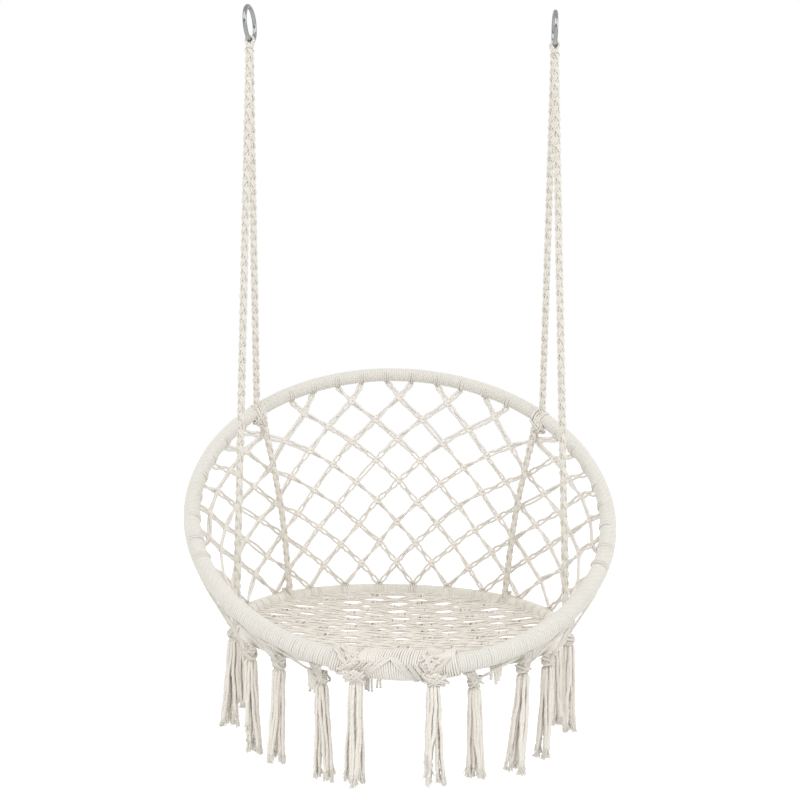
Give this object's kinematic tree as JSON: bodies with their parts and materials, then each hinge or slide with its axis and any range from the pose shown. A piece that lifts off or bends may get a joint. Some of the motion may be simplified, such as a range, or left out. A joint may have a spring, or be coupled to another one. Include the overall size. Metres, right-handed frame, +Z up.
{
  "type": "hammock chair",
  "caption": "Hanging hammock chair: cord-wrapped hoops joined by a knotted net back and seat, hung by braided ropes from steel rings, with a tassel fringe.",
  "frame": {"origin": "middle of the line between the tops of the two hanging rings' bores, where the hooks that carry the chair bear", "axes": "+Z up; +Y towards the chair's back, so a sitter faces -Y; +X to the right as the chair is seen from the front"},
  "size_m": [0.7998, 0.6765, 1.3592],
  "materials": {
    "cotton": "off-white cotton cord, matt",
    "shaded_cotton": "slightly browner cotton cord, matt",
    "ring_steel": "polished, plated steel",
    "hoop_tube_steel": "black powder coat, hidden under the wrapping"
  },
  "bodies": {
    "rings": {"hanging_ring_left": "ring_steel", "hanging_ring_right": "ring_steel"},
    "chair": {"back_hoop_tube": "hoop_tube_steel", "back_hoop_wrap": "cotton", "seat_hoop_tube": "hoop_tube_steel", "seat_hoop_wrap": "cotton", "hoop_lashing": "cotton", "rear_rope_knot_left": "cotton", "lower_rope_knot_left": "cotton", "front_rope_knot_left": "cotton", "rear_rope_knot_right": "cotton", "lower_rope_knot_right": "cotton", "front_rope_knot_right": "cotton", "rope_eye_left": "cotton", "eye_binding_left": "cotton", "front_rope_left": "cotton", "rear_rope_left": "cotton", "lower_rope_left": "shaded_cotton", "rope_eye_right": "cotton", "eye_binding_right": "cotton", "front_rope_right": "cotton", "rear_rope_right": "cotton", "lower_rope_right": "shaded_cotton", "back_net": "cotton", "seat_net": "cotton", "tassel_knot_1": "cotton", "tassel_knot_3": "cotton", "tassel_knot_4": "cotton", "tassel_knot_5": "cotton", "lashing_knot_left": "cotton", "lashing_knot_right": "cotton", "tassel_knot_8": "cotton", "tassel_knot_9": "cotton", "tassel_knot_10": "cotton", "tassel_knot_12": "cotton", "tassel_cords_3": "cotton", "tassel_cords_4": "cotton", "tassel_cords_5": "cotton", "tassel_cords_8": "cotton", "tassel_cords_9": "cotton", "tassel_cords_10": "cotton"},
    "tassel_1": {"tassel_1": "cotton"},
    "tassel_2": {"tassel_2": "cotton"},
    "tassel_3": {"tassel_3": "cotton"},
    "tassel_4": {"tassel_4": "cotton"},
    "tassel_5": {"tassel_5": "cotton"},
    "tassel_6": {"tassel_6": "cotton"},
    "tassel_7": {"tassel_7": "cotton"},
    "tassel_8": {"tassel_8": "cotton"},
    "tassel_9": {"tassel_9": "cotton"},
    "tassel_10": {"tassel_10": "cotton"},
    "tassel_11": {"tassel_11": "cotton"},
    "tassel_12": {"tassel_12": "cotton"}
  },
  "joints": [
    {"name": "chair_swing", "type": "hinge", "parent": "rings", "child": "chair", "pos_m": [0, 0, -0.0265], "axis": [1, 0, 0], "range_deg": [-25, 25]},
    {"name": "tassel_1_swing", "type": "hinge", "parent": "chair", "child": "tassel_1", "pos_m": [-0.29811, 0.00534, -1.18946], "axis": [0.0349, -0.9994, 0], "range_deg": [-25, 25]},
    {"name": "tassel_2_swing", "type": "hinge", "parent": "chair", "child": "tassel_2", "pos_m": [-0.29799, -0.09567, -1.16377], "axis": [0.3502, -0.9367, 0], "range_deg": [-25, 25]},
    {"name": "tassel_3_swing", "type": "hinge", "parent": "chair", "child": "tassel_3", "pos_m": [-0.25733, -0.17472, -1.17641], "axis": [0.5948, -0.8039, 0], "range_deg": [-25, 25]},
    {"name": "tassel_4_swing", "type": "hinge", "parent": "chair", "child": "tassel_4", "pos_m": [-0.20397, -0.2301, -1.17601], "axis": [0.7694, -0.6388, 0], "range_deg": [-25, 25]},
    {"name": "tassel_5_swing", "type": "hinge", "parent": "chair", "child": "tassel_5", "pos_m": [-0.13243, -0.27513, -1.18583], "axis": [0.91, -0.4147, 0], "range_deg": [-25, 25]},
    {"name": "tassel_6_swing", "type": "hinge", "parent": "chair", "child": "tassel_6", "pos_m": [-0.07757, -0.33138, -1.16512], "axis": [0.9744, -0.225, 0], "range_deg": [-25, 25]},
    {"name": "tassel_7_swing", "type": "hinge", "parent": "chair", "child": "tassel_7", "pos_m": [0.03964, -0.33499, -1.16977], "axis": [0.9903, 0.1392, 0], "range_deg": [-25, 25]},
    {"name": "tassel_8_swing", "type": "hinge", "parent": "chair", "child": "tassel_8", "pos_m": [0.10695, -0.2858, -1.19023], "axis": [0.9426, 0.3338, 0], "range_deg": [-25, 25]},
    {"name": "tassel_9_swing", "type": "hinge", "parent": "chair", "child": "tassel_9", "pos_m": [0.19148, -0.24094, -1.18345], "axis": [0.8018, 0.5976, 0], "range_deg": [-25, 25]},
    {"name": "tassel_10_swing", "type": "hinge", "parent": "chair", "child": "tassel_10", "pos_m": [0.24126, -0.19387, -1.18565], "axis": [0.6561, 0.7547, 0], "range_deg": [-25, 25]},
    {"name": "tassel_11_swing", "type": "hinge", "parent": "chair", "child": "tassel_11", "pos_m": [0.29811, -0.09567, -1.17548], "axis": [0.3502, 0.9367, 0], "range_deg": [-25, 25]},
    {"name": "tassel_12_swing", "type": "hinge", "parent": "chair", "child": "tassel_12", "pos_m": [0.29812, 0.00534, -1.20195], "axis": [0.0349, 0.9994, 0], "range_deg": [-25, 25]}
  ]
}
